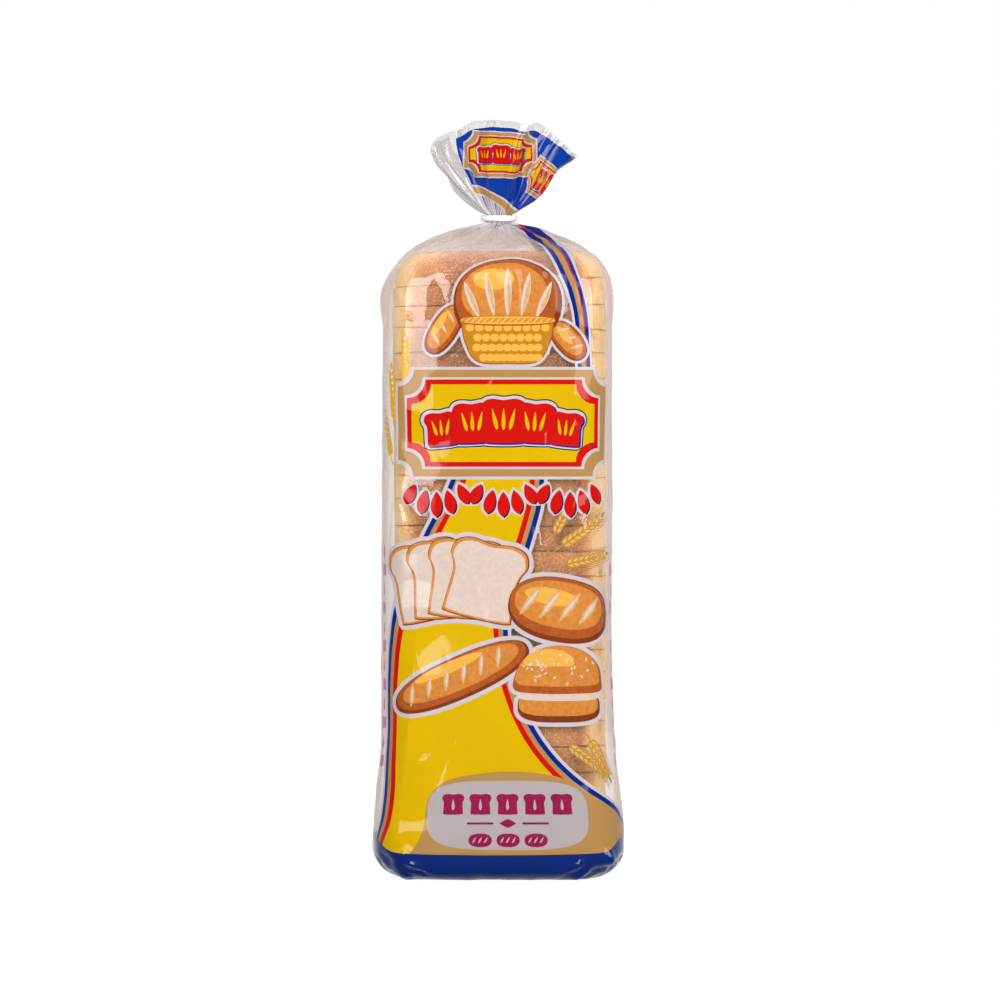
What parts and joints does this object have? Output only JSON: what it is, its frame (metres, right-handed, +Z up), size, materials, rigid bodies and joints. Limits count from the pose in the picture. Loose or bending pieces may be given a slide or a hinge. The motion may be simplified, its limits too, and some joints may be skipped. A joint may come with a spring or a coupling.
{
  "type": "sliced loaf in a bread bag",
  "caption": "Sandwich loaf standing on its heel in a film bag, gathered by a band into a neck under an open ruffled tail.",
  "frame": {"origin": "middle of the flat base that it stands on", "axes": "+Z up along the loaf to the bag's tied end, -Y towards the printed front, +X to the right as the front is seen"},
  "size_m": [0.1163, 0.1133, 0.3442],
  "materials": {
    "film": "thin clear glossy film with printed fields of colour",
    "band_plastic": "satin white plastic",
    "crust": "baked bread crust, matt and finely floured",
    "print": "glossy ink on film"
  },
  "bodies": {
    "root": {"bag": "film", "band": "band_plastic"}
  },
  "joints": []
}
